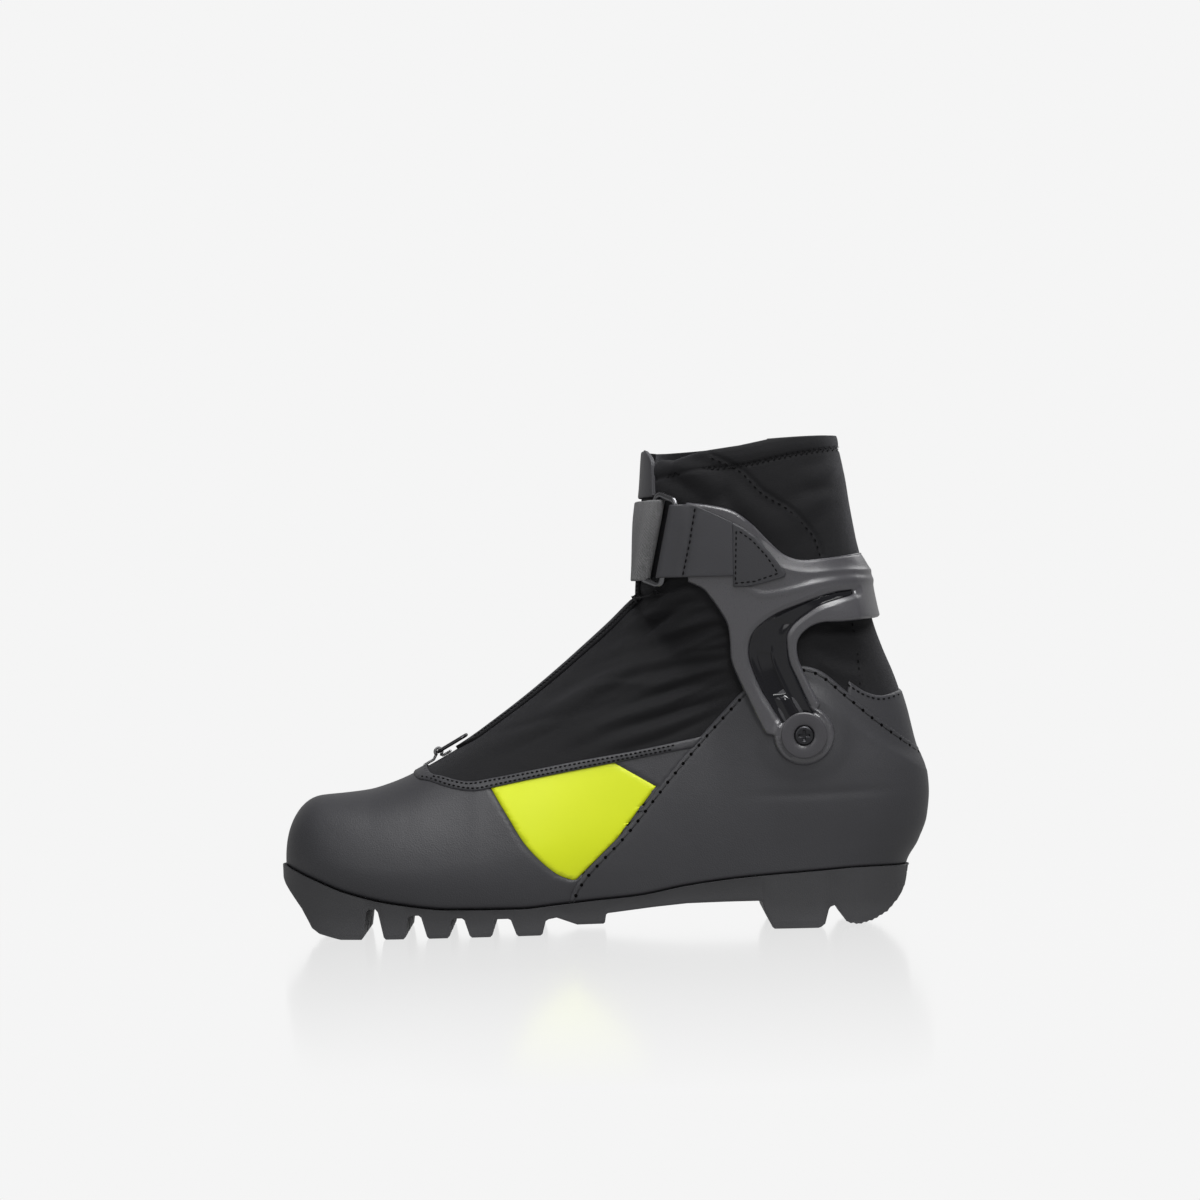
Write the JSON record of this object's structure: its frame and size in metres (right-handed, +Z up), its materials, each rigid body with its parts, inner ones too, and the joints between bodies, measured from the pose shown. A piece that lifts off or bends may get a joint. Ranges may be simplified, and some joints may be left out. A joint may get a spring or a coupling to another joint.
{
  "type": "cross country ski boot",
  "caption": "Skate-style ski boot: lugged sole with toe bar, layered upper, stretch instep cover, hinged cuff on ankle pivots, padded collar, ring and peel strap",
  "frame": {"origin": "on the ground under the middle of the boot", "axes": "+X to the heel, -X to the toe, +Y to the outer side of the right foot, +Z up"},
  "size_m": [0.3022, 0.0962, 0.228],
  "materials": {
    "rubber": "satin moulded rubber",
    "leather": "fine-grained synthetic leather",
    "fabric": "black stretch knit",
    "lining": "brushed lining",
    "cuff": "satin grey with fine sparkle",
    "gloss": "glossy black",
    "lime": "coated fabric, lime",
    "webbing": "hook and loop webbing",
    "steel": "satin steel",
    "wire": "black coated wire",
    "board": "fibre board"
  },
  "bodies": {
    "lower": {"outsole": "rubber", "binding_bar": "steel", "shank": "steel", "lasting_board": "board", "footbed": "lining", "vamp": "leather", "toe_puff": "board", "heel_quarter": "leather", "heel_counter": "board", "heel_tab": "leather", "lime_panel_medial": "lime", "lime_panel_lateral": "lime", "eyestay_band": "leather", "instep_cover": "fabric", "cover_strip": "fabric", "ankle_gusset": "fabric", "lower_lining": "lining", "gaiter_keeper": "webbing", "pivot_bush_medial": "wire", "pivot_bush_lateral": "wire", "pivot_cap_medial": "cuff", "pivot_cap_lateral": "cuff", "pivot_screw_medial": "wire", "pivot_screw_lateral": "wire", "pivot_nut_medial": "steel", "pivot_nut_lateral": "steel"},
    "cuff": {"cuff_shell": "cuff", "cuff_insert_medial": "gloss", "cuff_insert_lateral": "gloss", "collar_sleeve": "fabric", "tongue_tab": "leather", "strap_tab": "leather", "strap_patch": "leather", "strap": "webbing"},
    "strap_end": {"strap_flap": "webbing"},
    "ring": {"strap_ring": "steel"},
    "gaiter": {"gaiter_ring": "wire"}
  },
  "joints": [
    {"name": "cuff_flex", "type": "hinge", "parent": "lower", "child": "cuff", "pos_m": [0.09226, 0, 0.0891], "axis": [0, -1, 0], "range_deg": [-6, 18], "stiffness_Nm_per_rad": 6, "deforming": ["ankle_gusset"]},
    {"name": "strap_peel", "type": "hinge", "parent": "cuff", "child": "strap_end", "pos_m": [0.0159, 0.0104, 0.18], "axis": [0, 0, 1], "range_deg": [0, 100]},
    {"name": "ring_play", "type": "hinge", "parent": "cuff", "child": "ring", "pos_m": [0.03277, -0.03727, 0.18035], "axis": [0.1994, -0.2068, 0.9578], "range_deg": [-3, 3]},
    {"name": "gaiter_ring_turn", "type": "hinge", "parent": "lower", "child": "gaiter", "pos_m": [-0.07754, 0, 0.08418], "axis": [0, -1, 0], "range_deg": [0, 110]}
  ]
}
